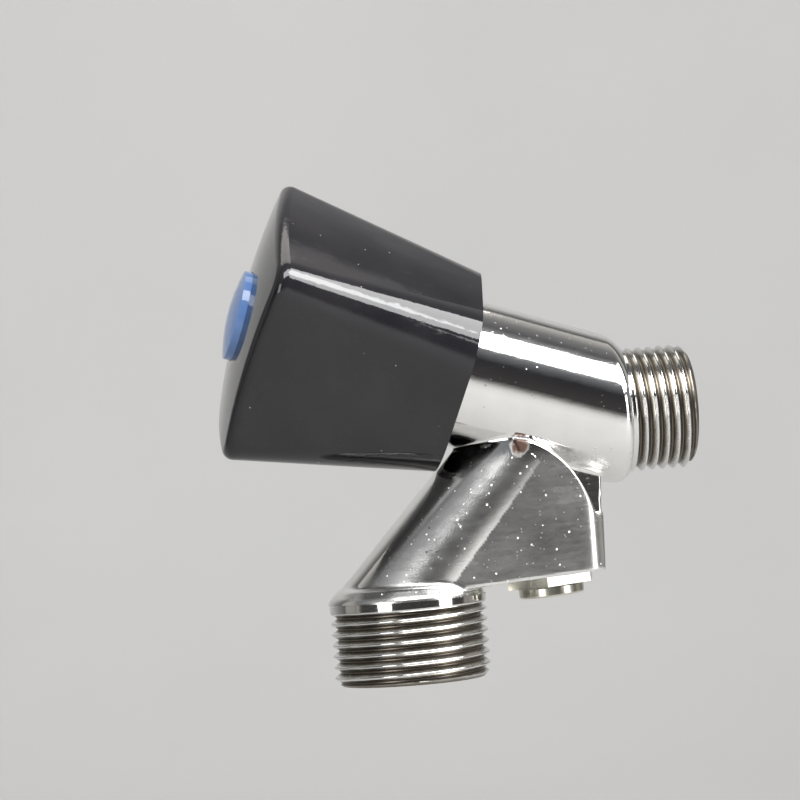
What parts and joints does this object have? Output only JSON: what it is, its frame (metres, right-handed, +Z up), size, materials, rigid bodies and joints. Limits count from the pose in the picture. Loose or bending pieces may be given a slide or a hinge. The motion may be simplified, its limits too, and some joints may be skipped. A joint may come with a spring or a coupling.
{
  "type": "appliance angle stop valve",
  "caption": "Angled appliance tap with an inclined stop valve, a large four-sided handle, a sprung check plate, an air inlet plug and male pipe threads on inlet and outlet.",
  "frame": {"origin": "centre of the inlet thread's shoulder, on the inlet axis", "axes": "+X out along the inlet towards the wall pipe, +Z up, the outlet points down -Z, the handle leans up and back over -X; the casting is symmetric about the XZ plane"},
  "size_m": [0.0801, 0.0476, 0.0848],
  "materials": {
    "chromed_casting": "polished chrome over cast brass",
    "chromed_turned": "bright chrome over turned brass",
    "brass": "turned brass, dull",
    "black_plastic": "high gloss moulded plastic",
    "blue_plastic": "gloss moulded plastic",
    "black_rubber": "matt moulded rubber",
    "fibre": "red vulcanised fibre",
    "white_plastic": "moulded acetal",
    "spring_steel": "stainless spring steel",
    "zinc_steel": "zinc plated steel"
  },
  "bodies": {
    "casting": {"valve_body": "chromed_casting", "bonnet": "brass", "bonnet_gasket": "fibre", "air_plug": "chromed_turned", "air_plug_o_ring": "black_rubber", "air_cap": "chromed_turned", "air_cage": "white_plastic"},
    "handle": {"handle_knob": "black_plastic", "handle_screw": "zinc_steel", "handle_screw_washer": "zinc_steel", "index_cap": "blue_plastic", "spindle": "brass", "spindle_thrust_washer": "white_plastic", "spindle_o_rings": "black_rubber", "spindle_circlip": "spring_steel"},
    "piston": {"lift_piston": "brass", "check_spring": "spring_steel"},
    "plate": {"check_plate": "brass", "seat_washer": "black_rubber", "washer_disc": "brass", "washer_screw": "brass"},
    "float": {"air_float": "white_plastic", "air_float_seal": "black_rubber"}
  },
  "joints": [
    {"name": "handle_turn", "type": "hinge", "parent": "casting", "child": "handle", "pos_m": [-0.00172, 0, 0], "axis": [-0.9478, 0, 0.319], "range_deg": [-900, 0]},
    {"name": "piston_lift", "type": "slide", "parent": "casting", "child": "piston", "axis": [-0.9478, 0, 0.319], "range_m": [-0.0045, 0]},
    {"name": "check_plate_lift", "type": "slide", "parent": "casting", "child": "plate", "axis": [-0.9478, 0, 0.319], "range_m": [0, 0.0019], "stiffness_N_per_m": 120, "springref_m": -0.006, "deforming": ["check_spring"]},
    {"name": "air_float_lift", "type": "slide", "parent": "casting", "child": "float", "axis": [-0.0558, 0, 0.9984], "range_m": [0, 0.0015]}
  ],
  "couplings": [
    {"joint": "piston_lift", "follows": "handle_turn", "m_per_rad": 0.0002864}
  ]
}
